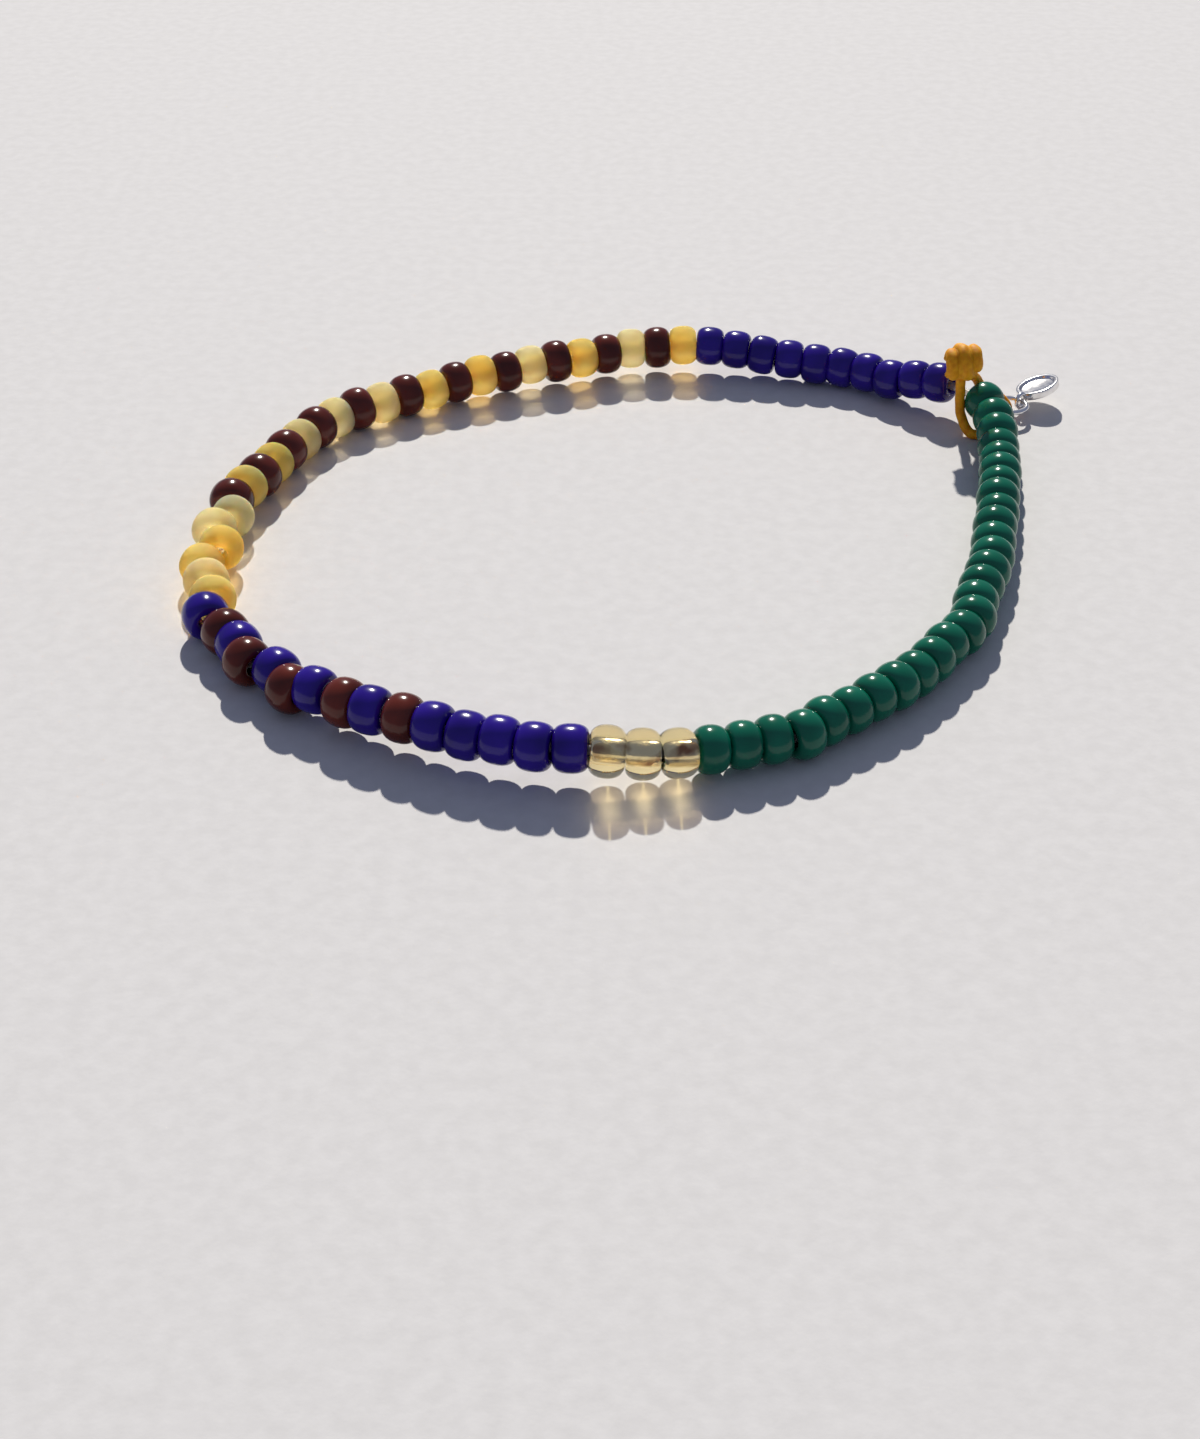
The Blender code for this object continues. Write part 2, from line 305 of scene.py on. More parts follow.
def tone(nodes, links, shader, noise, dark, light, low=0.35, high=0.65):
    """Base colour that drifts between two tones of the same stuff."""
    ramp = nodes.new("ShaderNodeValToRGB")
    ramp.color_ramp.elements[0].position = low
    ramp.color_ramp.elements[1].position = high
    ramp.color_ramp.elements[0].color = (*dark, 1)
    ramp.color_ramp.elements[1].color = (*light, 1)
    links.new(noise.outputs["Fac"], ramp.inputs["Fac"])
    links.new(ramp.outputs["Color"], shader.inputs["Base Color"])


def uneven(nodes, links, shader, noise, strength, distance):
    """Slight unevenness of the surface from a pattern."""
    bump = nodes.new("ShaderNodeBump")
    bump.inputs["Strength"].default_value = strength
    bump.inputs["Distance"].default_value = distance
    links.new(noise.outputs["Fac"], bump.inputs["Height"])
    links.new(bump.outputs["Normal"], shader.inputs["Normal"])


def let_light_through(nodes, links, shader, colour):
    """Glass that lets some of the light into its shadow, tinted with the colour."""
    passing = nodes.new("ShaderNodeBsdfTransparent")
    passing.inputs["Color"].default_value = (*colour, 1)
    rays = nodes.new("ShaderNodeLightPath")
    mixed = nodes.new("ShaderNodeMixShader")
    links.new(rays.outputs["Is Shadow Ray"], mixed.inputs["Fac"])
    links.new(shader.outputs["BSDF"], mixed.inputs[1])
    links.new(passing.outputs["BSDF"], mixed.inputs[2])
    links.new(mixed.outputs["Shader"], nodes["Material Output"].inputs["Surface"])
    return passing


def varied_gloss(nodes, links, shader, noise, smooth, dull):
    """Roughness that drifts between two values with a pattern."""
    spread = nodes.new("ShaderNodeMapRange")
    spread.inputs["To Min"].default_value = smooth
    spread.inputs["To Max"].default_value = dull
    links.new(noise.outputs["Fac"], spread.inputs["Value"])
    links.new(spread.outputs["Result"], shader.inputs["Roughness"])


thread_material, nodes, links, shader = new_material(
    "clear_elastic", THREAD_COLOUR, roughness=0.3, IOR=1.45, Transmission_Weight=0.75
)
uneven(nodes, links, shader, noise_of(nodes, links, scale=9000), strength=0.4, distance=0.05 * MM)

thread = tube(
    "elastic_thread_round",
    [string_point(STRING_LENGTH * i / THREAD_STOPS) for i in range(THREAD_STOPS)],
    THREAD_RADIUS,
    closed=True,
)
close_up(thread)
thread.data.materials.append(thread_material)
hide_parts("elastic_thread")
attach(thread, "root")


# The opaque beads: blue, green and brown pressed glass rings with a fire-polished skin, threaded so that each
# all but touches the next. As in pressed glass, no two are quite the same size or lie quite alike.
BORE_RADIUS = 0.52 * MM
FACE_RADIUS = 0.84 * MM
TOUCHING = 0.02 * MM
SECTION_SIDES = 24
BEAD_SIDES = 40
BORE_SQUARENESS = 3.2
FULLNESS = {"blue": 1.04, "brown": 1.09, "straw": 1.04, "amber": 1.04, "gold": 1.08, "green": 1.05}
SIZE_SPREAD = 0.025
LEAN_SPREAD = math.radians(4)
SHIFT_SPREAD = 0.1 * MM
SQUARENESS = {"blue": 2.4, "brown": 2.2, "straw": 2.3, "amber": 2.3, "gold": 2.15, "green": 2.15}
CAD_RUNS = {
    "beads_01_to_10_blue": range(1, 11),
    "beads_33_to_38_straw": range(33, 39),
    "beads_57_to_84_green": range(57, 85),
}


def opaque_glass(name, dark, light):
    """Glossy glass that no light goes through, a little uneven in colour and polish."""
    material, nodes, links, shader = new_material(name, light, roughness=0.16, IOR=1.38)
    tone(nodes, links, shader, noise_of(nodes, links, scale=420, detail=1.0), dark, light)
    varied_gloss(nodes, links, shader, noise_of(nodes, links, scale=1500), smooth=0.12, dull=0.22)
    waves = noise_of(nodes, links, scale=700, detail=1.0)
    uneven(nodes, links, shader, waves, strength=0.12, distance=0.05 * MM)
    return material


BEAD_MATERIALS = {
    "blue": opaque_glass("opaque_blue_glass", (0.016, 0.004, 0.18), (0.026, 0.008, 0.27)),
    "green": opaque_glass("opaque_green_glass", (0.003, 0.115, 0.066), (0.004, 0.145, 0.085)),
    "brown": opaque_glass("opaque_brown_glass", (0.070, 0.010, 0.005), (0.130, 0.021, 0.012)),
}


def bead_ring(name, radius, length, squareness):
    """A bead round Z, its middle at the origin: a rounded section spun round the hole."""
    face = FACE_RADIUS * radius / BEAD_RADIUS
    deselect_all()
    bpy.ops.mesh.primitive_circle_add(vertices=SECTION_SIDES, radius=1.0, location=(0, 0, 0))
    bead = bpy.context.object
    bead.name = bead.data.name = name
    for i, corner in enumerate(bead.data.vertices):
        turn = math.tau * (i + 0.5) / SECTION_SIDES
        across, up = math.cos(turn), math.sin(turn)
        power = 2 / (squareness if across > 0 else BORE_SQUARENESS)
        reach = (radius - face) if across > 0 else (face - BORE_RADIUS)
        corner.co.x = face + reach * math.copysign(abs(across) ** power, across)
        corner.co.y = 0
        corner.co.z = length / 2 * math.copysign(abs(up) ** power, up)
    bpy.ops.object.mode_set(mode="EDIT")
    bpy.ops.mesh.select_all(action="SELECT")
    bpy.ops.mesh.spin(steps=BEAD_SIDES, angle=math.tau, center=(0, 0, 0), axis=(0, 0, 1))
    bpy.ops.object.mode_set(mode="OBJECT")
    close_up(bead, FINE_MERGE)
    return bead


def thread_on(bead, number, middle, length, chance):
    """Puts a bead in its place on the string, with the small lean and shift that each one has."""
    lean = Matrix.Rotation(chance.uniform(-LEAN_SPREAD, LEAN_SPREAD), 4, "X") @ Matrix.Rotation(
        chance.uniform(-LEAN_SPREAD, LEAN_SPREAD), 4, "Y"
    )
    shift = Matrix.Translation(
        (chance.uniform(-SHIFT_SPREAD, SHIFT_SPREAD), chance.uniform(-SHIFT_SPREAD, SHIFT_SPREAD), 0)
    )
    turned = string_direction(middle, length).to_track_quat("Z", "Y").to_matrix().to_4x4()
    spun = Matrix.Rotation(chance.uniform(0, math.tau), 4, "Z")
    place = string_point(middle)
    bead.data.transform(Matrix.Translation(place) @ turned @ shift @ lean @ spun)
    lowest = min(corner.co.z for corner in bead.data.vertices)
    if lowest < 0:
        bead.data.transform(Matrix.Translation((0, 0, -lowest)))
    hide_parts(*[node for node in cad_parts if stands_for(node, number)])
    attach(bead, "root")


def stands_for(node, number):
    """Whether this node of the model is the bead, or the run of beads that it belongs to."""
    if node in CAD_RUNS:
        return number in CAD_RUNS[node]
    return node.startswith(f"bead_{number:02d}_")


def string_up(looks, chance):
    """Every bead of these looks, in its place on the string."""
    made = {}
    for number, look in enumerate(BEAD_ORDER, 1):
        if look not in looks:
            continue
        radius = BEAD_RADIUS * FULLNESS[look] * (1 + chance.uniform(-SIZE_SPREAD, SIZE_SPREAD))
        length = BEAD_LENGTH[look] + BEAD_GAP - TOUCHING
        bead = bead_ring(f"{look}_bead_{number:02d}", radius, length, SQUARENESS[look])
        if look in BEAD_MATERIALS:
            bead.data.materials.append(BEAD_MATERIALS[look])
        thread_on(bead, number, BEAD_MIDDLES[number], length, chance)
        made[number] = bead
    return made


string_up(("blue", "green", "brown"), random.Random(5))


# The frosted beads: straw and amber glass, etched matt, so that light from behind goes into them and makes
# them glow. They are pressed as the others are and alternate with the brown ones, but for six side by side.
def frosted_glass(name, deep, pale, passing):
    """Etched glass that scatters the light inside it and tints its shadow."""
    material, nodes, links, shader = new_material(
        name,
        pale,
        roughness=0.85,
        IOR=1.3,
        Transmission_Weight=0.6,
        Subsurface_Weight=1.0,
        Subsurface_Radius=(1.8, 1.3, 0.6),
        Subsurface_Scale=1.0 * MM,
    )
    tone(nodes, links, shader, noise_of(nodes, links, scale=380, detail=1.5), deep, pale)
    frosting = noise_of(nodes, links, scale=14000, detail=3.0)
    uneven(nodes, links, shader, frosting, strength=0.25, distance=0.02 * MM)
    let_light_through(nodes, links, shader, passing)
    return material


BEAD_MATERIALS["straw"] = frosted_glass(
    "frosted_straw_glass", deep=(1.0, 0.79, 0.36), pale=(1.0, 0.87, 0.50), passing=(0.46, 0.43, 0.38)
)
BEAD_MATERIALS["amber"] = frosted_glass(
    "frosted_amber_glass", deep=(1.0, 0.68, 0.13), pale=(1.0, 0.80, 0.26), passing=(0.46, 0.40, 0.30)
)
string_up(("straw", "amber"), random.Random(17))


# The three gold-lined beads: clear champagne glass whose hole is lined with a bright metal film, which shows
# as a silver-gold rod through the glass. The glass lets light through into its own shadow.
LINING_THICKNESS = 0.05 * MM
LINING_INSET = LINING_THICKNESS * 1.6
LINING_SIDES = 32
LINING_LENGTH = BEAD_LENGTH["gold"] + BEAD_GAP - TOUCHING * 5
LINING_SMOOTH_BELOW = math.radians(40)
GOLD_GLASS = (1.0, 0.97, 0.84)
GOLD_DEPTH = (0.92, 0.72, 0.12)
GOLD_DEPTH_DENSITY = 260.0
GOLD_SHADOW = (0.50, 0.47, 0.45)
GOLD_STREAK = (1.0, 0.95, 0.78)
STREAK_WIDTH = 0.1 * MM
LINING_COLOUR = (0.86, 0.80, 0.64)
# The lining's brown tone is painted reflection of the brown beads nearby, laid in random patches
LINING_PAINTED_REFLECTION = (0.30, 0.14, 0.07)
LINING_BRIGHT = (0.92, 0.88, 0.74)

# How squarely a face has to look along the hole to count as one of the ends
FACING = 0.9


def clear_gold_glass(number):
    """Clear glass that yellows with depth and throws a bright streak into its shadow from its middle."""
    material, nodes, links, shader = new_material(
        f"clear_gold_glass_{number}", GOLD_GLASS, roughness=0.0, IOR=1.5, Transmission_Weight=1.0
    )
    waves = noise_of(nodes, links, scale=500, detail=1.0)
    uneven(nodes, links, shader, waves, strength=0.25, distance=0.06 * MM)
    depth = nodes.new("ShaderNodeVolumeAbsorption")
    depth.inputs["Color"].default_value = (*GOLD_DEPTH, 1)
    depth.inputs["Density"].default_value = GOLD_DEPTH_DENSITY
    links.new(depth.outputs["Volume"], nodes["Material Output"].inputs["Volume"])
    passing = let_light_through(nodes, links, shader, GOLD_SHADOW)

    where = nodes.new("ShaderNodeTexCoord")
    axes = nodes.new("ShaderNodeSeparateXYZ")
    aside = nodes.new("ShaderNodeMath")
    aside.operation = "SUBTRACT"
    aside.inputs[1].default_value = string_point(BEAD_MIDDLES[number]).x
    reach = nodes.new("ShaderNodeMath")
    reach.operation = "ABSOLUTE"
    share = nodes.new("ShaderNodeMapRange")
    share.inputs["From Max"].default_value = STREAK_WIDTH
    share.inputs["To Min"].default_value = 1.0
    share.inputs["To Max"].default_value = 0.0
    streak = nodes.new("ShaderNodeMixRGB")
    streak.inputs["Color1"].default_value = (*GOLD_SHADOW, 1)
    streak.inputs["Color2"].default_value = (*GOLD_STREAK, 1)
    links.new(where.outputs["Object"], axes.inputs["Vector"])
    links.new(axes.outputs["X"], aside.inputs[0])
    links.new(aside.outputs["Value"], reach.inputs[0])
    links.new(reach.outputs["Value"], share.inputs["Value"])
    links.new(share.outputs["Result"], streak.inputs["Fac"])
    links.new(streak.outputs["Color"], passing.inputs["Color"])
    return material


def lining_metal():
    """Bright metal film with random patches of painted brown reflection of the neighbouring beads, as it
    shows through the glass.
    """
    material, nodes, links, shader = new_material(
        "gold_lining", LINING_COLOUR, roughness=0.16, Metallic=1.0
    )
    # Random patches where the painted brown reflection of the neighbouring beads is laid on the metal
    painted_reflection_patches = noise_of(nodes, links, scale=900)
    tone(nodes, links, shader, painted_reflection_patches, LINING_PAINTED_REFLECTION, LINING_BRIGHT, low=0.34, high=0.52)
    uneven(nodes, links, shader, noise_of(nodes, links, scale=1300), strength=0.6, distance=0.08 * MM)
    return material


GOLD_LINING = lining_metal()
gold_beads = string_up(("gold",), random.Random(23))
for number, bead in gold_beads.items():
    bead.data.materials.append(clear_gold_glass(number))


def line_the_hole(number):
    """The metal film in one bead's hole: a thin open tube, its two rims closed."""
    deselect_all()
    bpy.ops.mesh.primitive_cylinder_add(
        vertices=LINING_SIDES,
        radius=BORE_RADIUS + LINING_THICKNESS,
        depth=LINING_LENGTH,
        end_fill_type="NGON",
    )
    lining = bpy.context.object
    lining.name = lining.data.name = f"gold_lining_{number:02d}"
    bpy.ops.object.mode_set(mode="EDIT")
    bpy.ops.mesh.select_all(action="DESELECT")
    shell = bmesh.from_edit_mesh(lining.data)
    for face in shell.faces:
        face.select = abs(face.normal.z) > FACING
    bmesh.update_edit_mesh(lining.data)
    bpy.ops.mesh.inset(thickness=LINING_INSET)
    bpy.ops.mesh.bridge_edge_loops()
    bpy.ops.object.mode_set(mode="OBJECT")
    close_up(lining, FINE_MERGE)
    bpy.ops.object.shade_smooth_by_angle(angle=LINING_SMOOTH_BELOW)
    middle = BEAD_MIDDLES[number]
    turned = string_direction(middle, LINING_LENGTH).to_track_quat("Z", "Y").to_matrix().to_4x4()
    lining.data.transform(Matrix.Translation(string_point(middle)) @ turned)
    lining.data.materials.append(GOLD_LINING)
    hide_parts(f"bead_{number:02d}_gold")
    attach(lining, "root")


for number in gold_beads:
    line_the_hole(number)


# The cord that closes the string: mustard waxed cotton, three plies twisted, taken down inside the closure,
# flat under the last green bead, up through the jump ring and back over the thread to the knot.
CORD_RADIUS = 0.38 * MM
CORD_PLY_TURN = 3.2 * MM
PROFILE_SIDES = 18
PROFILE_MIDDLE = 0.965
PROFILE_DEPTH = 0.035
PLIES = 3

# Places at the closure, in millimetres from the point on the surface under its middle: outwards, back along
# the string to the blue beads, and up
CORD_ROUTE = (
    (-1.72, -0.85, 4.25),
    (-1.45, -0.74, 3.3),
    (-1.35, -0.7, 2.6),
    (-1.36, -0.8, 1.9),
    (-1.42, -1.05, 1.3),
    (-1.5, -1.5, 0.76),
    (-1.6, -1.95, 0.45),
    (-1.55, -2.35, 0.37),
    (-1.15, -2.75, 0.36),
    (-0.4, -3.0, 0.36),
    (0.5, -3.1, 0.36),
    (1.4, -2.95, 0.36),
    (2.15, -2.65, 0.42),
    (2.6, -2.4, 0.78),
    (2.68, -2.15, 1.25),
    (2.5, -1.75, 1.7),
    (2.05, -1.2, 2.05),
    (1.4, -0.78, 2.4),
    (0.95, -0.72, 3.1),
    (0.3, -0.8, 3.8),
    (-0.5, -0.88, 4.5),
)
CORD_ENDS = ((-1.9, -0.95, 5.2), (-1.4, -1.0, 5.2))
CORD_COLOURS = ((0.72, 0.27, 0.002), (0.86, 0.40, 0.008))


def closure_frame():
    """Places at the closure: X outwards, Y back along the string to the blues, Z up from the surface."""
    middle = string_point(0)
    along = string_direction(0, KNOT_SPACE)
    along.z = 0
    along.normalize()
    outward = along.cross(Vector((0, 0, 1)))
    turned = Matrix((outward, along, (0, 0, 1))).transposed().to_4x4()
    return Matrix.Translation((middle.x, middle.y, 0)) @ turned


CLOSURE = closure_frame()


def three_ply_profile(radius):
    """The cord's cross-section: a circle a little pushed in between the three plies."""
    curve = bpy.data.curves.new("cord_profile", "CURVE")
    curve.dimensions = "2D"
    spline = curve.splines.new("POLY")
    spline.points.add(PROFILE_SIDES - 1)
    for i, corner in enumerate(spline.points):
        turn = math.tau * i / PROFILE_SIDES
        reach = radius * (PROFILE_MIDDLE + PROFILE_DEPTH * math.cos(PLIES * turn))
        corner.co = (reach * math.cos(turn), reach * math.sin(turn), 0, 1)
    spline.use_cyclic_u = True
    made = bpy.data.objects.new("cord_profile", curve)
    bpy.context.scene.collection.objects.link(made)
    return made


def cord_material():
    """Matt waxed fibre."""
    material, nodes, links, shader = new_material(
        "mustard_cord",
        CORD_COLOURS[1],
        roughness=0.6,
        Specular_IOR_Level=0.25,
        Subsurface_Weight=0.35,
        Subsurface_Radius=(1.0, 0.45, 0.1),
        Subsurface_Scale=0.4 * MM,
    )
    tone(nodes, links, shader, noise_of(nodes, links, scale=2600, detail=4.0), *CORD_COLOURS)
    fibres = noise_of(nodes, links, scale=9000, detail=3.0)
    uneven(nodes, links, shader, fibres, strength=0.3, distance=0.04 * MM)
    return material


MUSTARD_CORD = cord_material()


def twisted_cord(name, line, radius):
    """A length of the twisted cord along the line."""
    twists = [math.tau * distance / CORD_PLY_TURN for distance in lengths_along(line)]
    profile = three_ply_profile(radius)
    piece = tube(name, line, radius, profile=profile, twists=twists)
    bpy.data.objects.remove(profile, do_unlink=True)
    close_up(piece, FINE_MERGE)
    piece.data.materials.append(MUSTARD_CORD)
    return piece


loop_places = [Vector(place) * MM for place in (CORD_ENDS[0], *CORD_ROUTE, CORD_ENDS[1])]
loop_line = [CLOSURE @ point for point in smooth_points(loop_places, closed=False)]
loop = twisted_cord("cord_loop_twisted", loop_line, CORD_RADIUS)
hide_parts("cord_loop")
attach(loop, "root")


# The ball knot: the two ends of the cord tied and pulled tight, with a short cut tail. It stands over the
# closure on the two sides of the loop, and its turns show as rounded lobes side by side, wound round a core.
KNOT_PLACE = (-1.96, -1.04, 6.0)
KNOT_TURNS = 2.5
KNOT_START = 0.75 * math.pi
KNOT_STEPS = 26
KNOT_REACH = 0.9 * MM
KNOT_TURN_RADIUS = 0.86 * MM
KNOT_CORD_RADIUS = 0.52 * MM
KNOT_CORE_RADIUS = 1.25 * MM
KNOT_FULLNESS = 1.08
KNOT_END_ROUNDING = 4
TAIL_RADIUS = CORD_RADIUS * 0.8
TAIL_ROUTE = ((-0.5, 0.0, -0.3), (-0.7, 0.1, -0.7), (-0.85, 0.2, -1.05), (-0.92, 0.3, -1.25))

knot_middle = CLOSURE @ (Vector(KNOT_PLACE) * MM)


def knot_line():
    """The cord's way round and across the ball, closing in towards both of its sides."""
    turns = []
    for i in range(KNOT_STEPS + 1):
        share = 2 * i / KNOT_STEPS - 1
        turn = math.pi * KNOT_TURNS * share + KNOT_START
        across = KNOT_REACH * math.sin(share * math.pi / 2)
        reach = KNOT_TURN_RADIUS * math.sqrt(KNOT_FULLNESS - share**KNOT_END_ROUNDING)
        turns.append(knot_middle + Vector((across, reach * math.cos(turn), reach * math.sin(turn))))
    return smooth_points(turns, closed=False)


knot = twisted_cord("cord_knot_turns", knot_line(), KNOT_CORD_RADIUS)
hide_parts("cord_knot")
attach(knot, "root")

deselect_all()
bpy.ops.mesh.primitive_uv_sphere_add(segments=24, ring_count=14, radius=KNOT_CORE_RADIUS)
core = bpy.context.object
core.name = core.data.name = "cord_knot_core"
bpy.ops.object.shade_smooth()
core.data.transform(Matrix.Translation(knot_middle))
core.data.materials.append(MUSTARD_CORD)
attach(core, "root")

tail = tube("cord_tail", [knot_middle + Vector(place) * MM for place in TAIL_ROUTE], TAIL_RADIUS)
close_up(tail, FINE_MERGE)
tail.data.materials.append(MUSTARD_CORD)
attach(tail, "root")


# The jump ring: polished silver wire bent round, its two cut ends pressed together. The cord's loop goes
# through it, and it carries the tag.
JUMP_RING_RADIUS = 1.2 * MM
JUMP_WIRE_RADIUS = 0.2 * MM
JUMP_RING_PLACE = (3.16, -2.25, 1.04)
JUMP_RING_LINK = math.radians(-1)
JUMP_RING_CUT = math.radians(2.5)
JUMP_RING_CUT_PLACE = math.radians(150)
JUMP_RING_SIDES = 64
WIRE_SIDES = 16
SILVER = (0.86, 0.85, 0.83)
SILVER_TONES = ((0.74, 0.72, 0.70), (0.92, 0.91, 0.90))


def polished_silver():
    """Silver with small dents and rubbed places."""
    material, nodes, links, shader = new_material("polished_silver", SILVER, roughness=0.14, Metallic=1.0)
    tone(nodes, links, shader, noise_of(nodes, links, scale=900, detail=3.0), *SILVER_TONES)
    rubbing = noise_of(nodes, links, scale=2500, detail=4.0)
    varied_gloss(nodes, links, shader, rubbing, smooth=0.1, dull=0.26)
    dents = noise_of(nodes, links, scale=5000, detail=3.0)
    uneven(nodes, links, shader, dents, strength=0.12, distance=0.03 * MM)
    return material


POLISHED_SILVER = polished_silver()


def ring_of_wire(name, radius, wire_radius, cut, sides):
    """A wire circle spun round Z from one cut end to the other. With no cut it is a closed ring."""
    deselect_all()
    bpy.ops.mesh.primitive_circle_add(
        vertices=WIRE_SIDES,
        radius=wire_radius,
        fill_type="NGON" if cut else "NOTHING",
        location=(radius, 0, 0),
        rotation=(math.pi / 2, 0, 0),
    )
    ring = bpy.context.object
    ring.name = ring.data.name = name
    ring.data.transform(ring.matrix_basis)
    ring.matrix_basis = Matrix.Identity(4)
    bpy.ops.object.mode_set(mode="EDIT")
    bpy.ops.mesh.select_all(action="SELECT")
    bpy.ops.mesh.spin(steps=sides, angle=math.tau - cut, center=(0, 0, 0), axis=(0, 0, 1))
    bpy.ops.object.mode_set(mode="OBJECT")
    close_up(ring, FINE_MERGE)
    return ring


jump_ring = ring_of_wire("jump_ring_wire", JUMP_RING_RADIUS, JUMP_WIRE_RADIUS, JUMP_RING_CUT, JUMP_RING_SIDES)
RING_PLACE = Matrix.Translation(Vector(JUMP_RING_PLACE) * MM)
jump_ring.data.transform(CLOSURE @ RING_PLACE @ Matrix.Rotation(JUMP_RING_CUT_PLACE, 4, "Z"))
close_up(jump_ring, FINE_MERGE)
jump_ring.data.materials.append(POLISHED_SILVER)
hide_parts("jump_ring")
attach(jump_ring, "root")


# The tag: a little oval plate of polished silver with a raised rim, bare inside, and a wire eye soldered
# upright to its end. It hangs in the jump ring and stands out from it a little above the surface.
TAG_HALF_LENGTH = 1.8 * MM
TAG_HALF_WIDTH = 1.5 * MM
TAG_THICKNESS = 0.36 * MM
TAG_RIM_HEIGHT = 0.22 * MM
TAG_RIM_WIDTH = 0.32 * MM
TAG_RIM_SLOPE = TAG_RIM_WIDTH * 0.3
TAG_SIDES = 72
TAG_EDGE_ROUNDING = 0.07 * MM
TAG_ROUNDED_ABOVE = math.radians(30)
TAG_SMOOTH_BELOW = math.radians(35)
TAG_EYE_RADIUS = 0.5 * MM
TAG_EYE_WIRE_RADIUS = 0.17 * MM
TAG_EYE_SIDES = 40
TAG_EYE_OVERLAP = 0.15 * MM
TAG_TURN = math.radians(-1)
TAG_DIP = math.radians(-7.5)
TAG_ROLL = math.radians(-14.5)


def tag_plate():
    """The plate round Z, its underside on z = 0, with the rim left standing round a sunk middle."""
    full = TAG_THICKNESS + TAG_RIM_HEIGHT
    deselect_all()
    bpy.ops.mesh.primitive_cylinder_add(
        vertices=TAG_SIDES, radius=TAG_HALF_LENGTH, depth=full, location=(0, 0, full / 2)
    )
    plate = bpy.context.object
    plate.name = plate.data.name = "silver_tag_plate"
    plate.data.transform(plate.matrix_basis)
    plate.matrix_basis = Matrix.Identity(4)
    bpy.ops.object.mode_set(mode="EDIT")
    bpy.ops.mesh.select_all(action="DESELECT")
    shell = bmesh.from_edit_mesh(plate.data)
    for face in shell.faces:
        face.select = face.normal.z > FACING
    bmesh.update_edit_mesh(plate.data)
    bpy.ops.mesh.inset(thickness=TAG_RIM_WIDTH)
    bpy.ops.mesh.inset(thickness=TAG_RIM_SLOPE, depth=-TAG_RIM_HEIGHT)
    bpy.ops.mesh.select_all(action="DESELECT")
    shell = bmesh.from_edit_mesh(plate.data)
    for edge in shell.edges:
        edge.select = len(edge.link_faces) == 2 and edge.calc_face_angle() > TAG_ROUNDED_ABOVE
    bmesh.update_edit_mesh(plate.data)
    bpy.ops.mesh.bevel(offset=TAG_EDGE_ROUNDING, segments=3, affect="EDGES")
    bpy.ops.object.mode_set(mode="OBJECT")
    close_up(plate, FINE_MERGE)
    bpy.ops.object.shade_smooth_by_angle(angle=TAG_SMOOTH_BELOW)
    return plate


plate = tag_plate()
LINK = Matrix.Translation(Matrix.Rotation(JUMP_RING_LINK, 4, "Z") @ Vector((JUMP_RING_RADIUS, 0, 0)))
TURN = Matrix.Rotation(TAG_TURN, 4, "Z") @ Matrix.Rotation(TAG_DIP, 4, "Y")
HANG = CLOSURE @ RING_PLACE @ LINK @ TURN
ROLL = Matrix.Rotation(TAG_ROLL, 4, "X")
eye_distance = TAG_HALF_LENGTH + TAG_EYE_RADIUS - TAG_EYE_OVERLAP
oval = Matrix.Diagonal((1, TAG_HALF_WIDTH / TAG_HALF_LENGTH, 1, 1))
plate.data.transform(HANG @ ROLL @ Matrix.Translation((eye_distance, 0, -TAG_THICKNESS / 2)) @ oval)
close_up(plate, FINE_MERGE)
bpy.ops.object.shade_smooth_by_angle(angle=TAG_SMOOTH_BELOW)
plate.data.materials.append(POLISHED_SILVER)

eye = ring_of_wire("silver_tag_eye", TAG_EYE_RADIUS, TAG_EYE_WIRE_RADIUS, 0.0, TAG_EYE_SIDES)
eye.data.transform(HANG @ Matrix.Rotation(math.pi / 2, 4, "X"))
close_up(eye, FINE_MERGE)
eye.data.materials.append(POLISHED_SILVER)
for piece in (plate, eye):
    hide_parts("silver_tag")
    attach(piece, "root")


# The studio: a plain pale matt floor, a softened key light from behind and a pale blue-white surround.
FLOOR_SIZE = 4.0
FLOOR_COLOURS = ((0.66, 0.645, 0.63), (0.70, 0.685, 0.67))
KEY_ELEVATION = math.radians(38.56)
KEY_AZIMUTH = math.radians(-1.9)
KEY_STRENGTH = 4.3
KEY_COLOUR = (1.0, 0.96, 0.885)
KEY_SPREAD = math.radians(1.6)
SURROUND_COLOUR = (0.58, 0.66, 0.96)
SURROUND_STRENGTH = 0.29

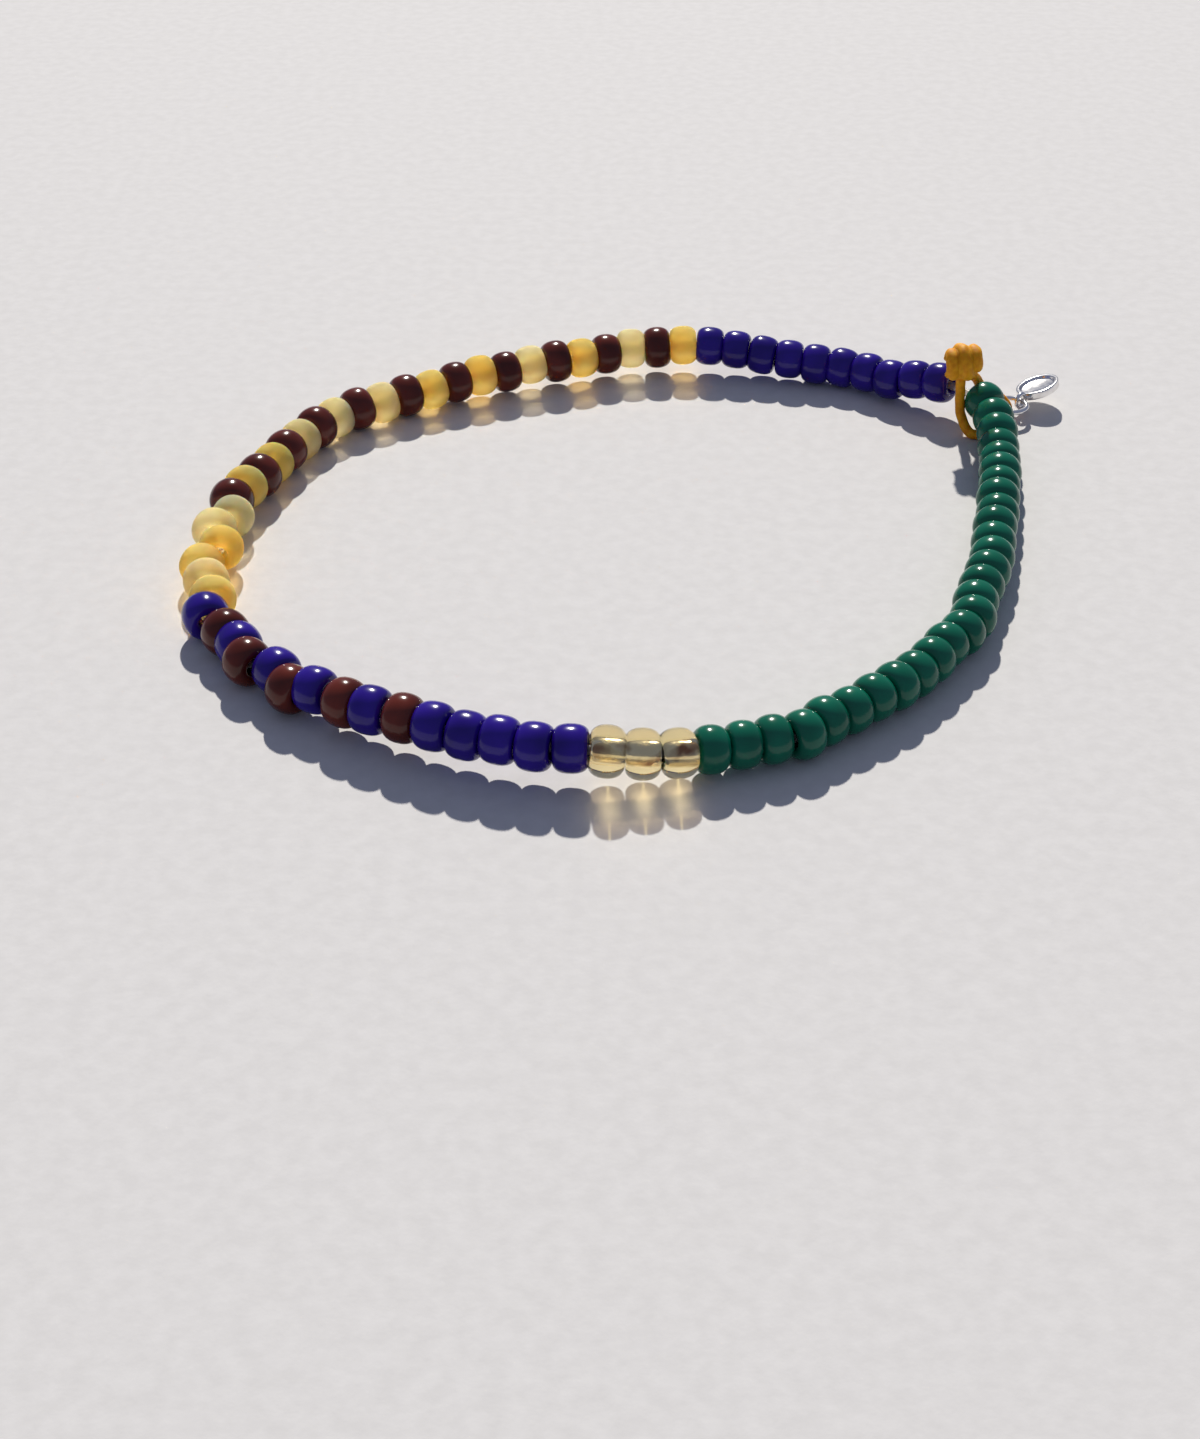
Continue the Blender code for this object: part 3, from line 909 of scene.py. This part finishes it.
deselect_all()
bpy.ops.mesh.primitive_plane_add(size=FLOOR_SIZE, location=(0, 0, 0))
floor = bpy.context.object
floor.name = "floor"
floor_material, nodes, links, shader = new_material("pale_floor", FLOOR_COLOURS[1], roughness=0.85)
tone(nodes, links, shader, noise_of(nodes, links, scale=900, detail=6.0), *FLOOR_COLOURS)
grain = noise_of(nodes, links, scale=2200, detail=5.0)
uneven(nodes, links, shader, grain, strength=0.2, distance=0.05 * MM)
floor.data.materials.append(floor_material)

key = bpy.data.objects.new("key_light", bpy.data.lights.new("key_light", "SUN"))
key.data.energy = KEY_STRENGTH
key.data.angle = KEY_SPREAD
key.data.color = KEY_COLOUR
to_key = Vector(
    (
        math.sin(KEY_AZIMUTH) * math.cos(KEY_ELEVATION),
        math.cos(KEY_AZIMUTH) * math.cos(KEY_ELEVATION),
        math.sin(KEY_ELEVATION),
    )
)
key.rotation_mode = "QUATERNION"
key.rotation_quaternion = to_key.to_track_quat("Z", "Y")
bpy.context.scene.collection.objects.link(key)

surround = bpy.data.worlds.new("studio_surround")
surround.use_nodes = True
surround.node_tree.nodes["Background"].inputs["Color"].default_value = (*SURROUND_COLOUR, 1)
surround.node_tree.nodes["Background"].inputs["Strength"].default_value = SURROUND_STRENGTH
bpy.context.scene.world = surround
bpy.context.scene.view_settings.view_transform = "Standard"

# The camera stands in front and looks down on the bracelet, as in the photograph.
CAMERA_PLACE = (-3.76 * MM, -128.04 * MM, 76.23 * MM)
CAMERA_PITCH = math.radians(35.39)
FRAME_HEIGHT = 1439
FOCAL_PIXELS = 2148.4
SENSOR = 36.0
CLIP_NEAR = 0.005
CLIP_FAR = 20
camera = bpy.data.objects.new("camera", bpy.data.cameras.new("camera"))
camera.location = CAMERA_PLACE
camera.rotation_euler = (math.pi / 2 - CAMERA_PITCH, 0, 0)
camera.data.sensor_width = SENSOR
camera.data.lens = FOCAL_PIXELS / FRAME_HEIGHT * SENSOR
camera.data.clip_start = CLIP_NEAR
camera.data.clip_end = CLIP_FAR
bpy.context.scene.collection.objects.link(camera)
bpy.context.scene.camera = camera
